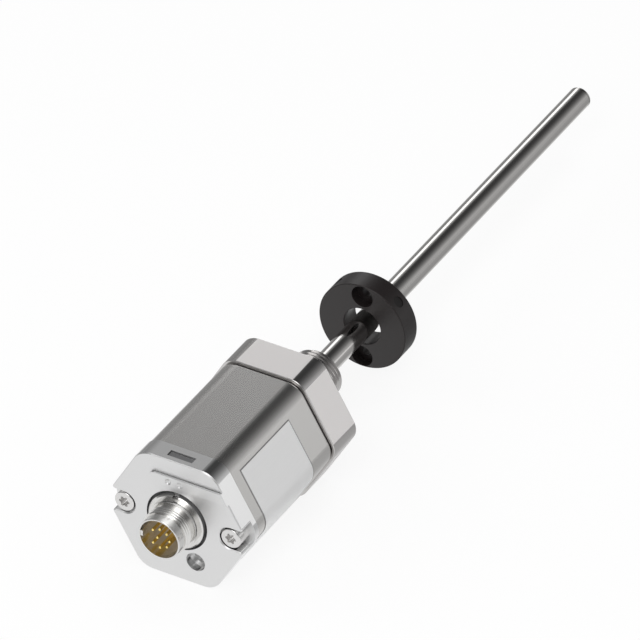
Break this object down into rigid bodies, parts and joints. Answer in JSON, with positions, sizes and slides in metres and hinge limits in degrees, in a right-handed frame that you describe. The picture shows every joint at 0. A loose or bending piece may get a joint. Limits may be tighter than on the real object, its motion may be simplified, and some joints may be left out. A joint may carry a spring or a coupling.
{
  "type": "magnetostrictive linear position sensor",
  "caption": "Rod-style linear position sensor with a hexagonal electronics housing, a threaded process stub, a slim steel sensing rod and a ring magnet that slides along it.",
  "frame": {"origin": "centre of the flange's sealing face, on the rod's axis", "axes": "+Y along the rod towards its tip, +Z out of the housing flat with the status window, +X to the right when the connector's face is looked at from the front"},
  "size_m": [0.051, 0.2783, 0.0458],
  "materials": {
    "cover_aluminium": "satin, finely blasted",
    "tube_aluminium": "extruded, satin anodised",
    "flange_steel": "turned stainless steel",
    "rod_steel": "drawn and polished stainless steel",
    "screw_steel": "plain stainless steel",
    "nickel": "bright nickel plating",
    "gold_contact": "gilt",
    "insert_plastic": "moulded insulator",
    "window_plastic": "tinted light guide",
    "label_foil": "bare silver-grey foil",
    "magnet_plastic": "moulded, near black",
    "magnet_cell": "pressed magnet material",
    "potting_resin": "cast resin",
    "seal_rubber": "moulded rubber",
    "waveguide_metal": "drawn nickel-iron wire",
    "copper": "enamelled copper",
    "sleeve_plastic": "white fluoropolymer",
    "damper_rubber": "soft silicone",
    "crimp_brass": "plain brass",
    "carrier_plastic": "glass-filled moulding",
    "bobbin_plastic": "natural moulding",
    "board_laminate": "green solder mask",
    "chip_plastic": "moulded package",
    "capacitor_can": "drawn can",
    "diode_plastic": "clear package"
  },
  "bodies": {
    "sensor": {"end_cover": "cover_aluminium", "led_window": "window_plastic", "cover_screws": "screw_steel", "lock_washers": "screw_steel", "connector_shell": "nickel", "connector_insert": "insert_plastic", "contact_pins": "gold_contact", "connector_seal_ring": "seal_rubber", "connector_nut": "nickel", "housing_tube": "tube_aluminium", "cover_gasket": "seal_rubber", "flange_gasket": "seal_rubber", "rating_label": "label_foil", "flange": "flange_steel", "port_seal_ring": "seal_rubber", "rod_tube": "rod_steel", "rod_end_plug": "rod_steel", "waveguide_wire": "waveguide_metal", "return_wire": "copper", "waveguide_sleeve": "sleeve_plastic", "damping_sleeve": "damper_rubber", "tip_crimp": "crimp_brass", "transducer_carrier": "carrier_plastic", "carrier_screws": "screw_steel", "pickup_bobbin": "bobbin_plastic", "pickup_coil": "copper", "coil_leads": "copper", "bias_magnet": "magnet_cell", "waveguide_clamp": "crimp_brass", "clamp_screw": "screw_steel", "header_pins": "gold_contact", "board_header": "chip_plastic", "main_board": "board_laminate", "connector_board": "board_laminate", "processor_chips": "chip_plastic", "capacitors": "capacitor_can", "status_leds": "diode_plastic"},
    "position_magnet": {"magnet_ring": "magnet_plastic", "ring_magnets": "magnet_cell", "magnet_potting": "potting_resin"}
  },
  "joints": [
    {"name": "magnet_travel", "type": "slide", "parent": "sensor", "child": "position_magnet", "axis": [0, 1, 0], "range_m": [-0.0227, 0.0773]}
  ]
}
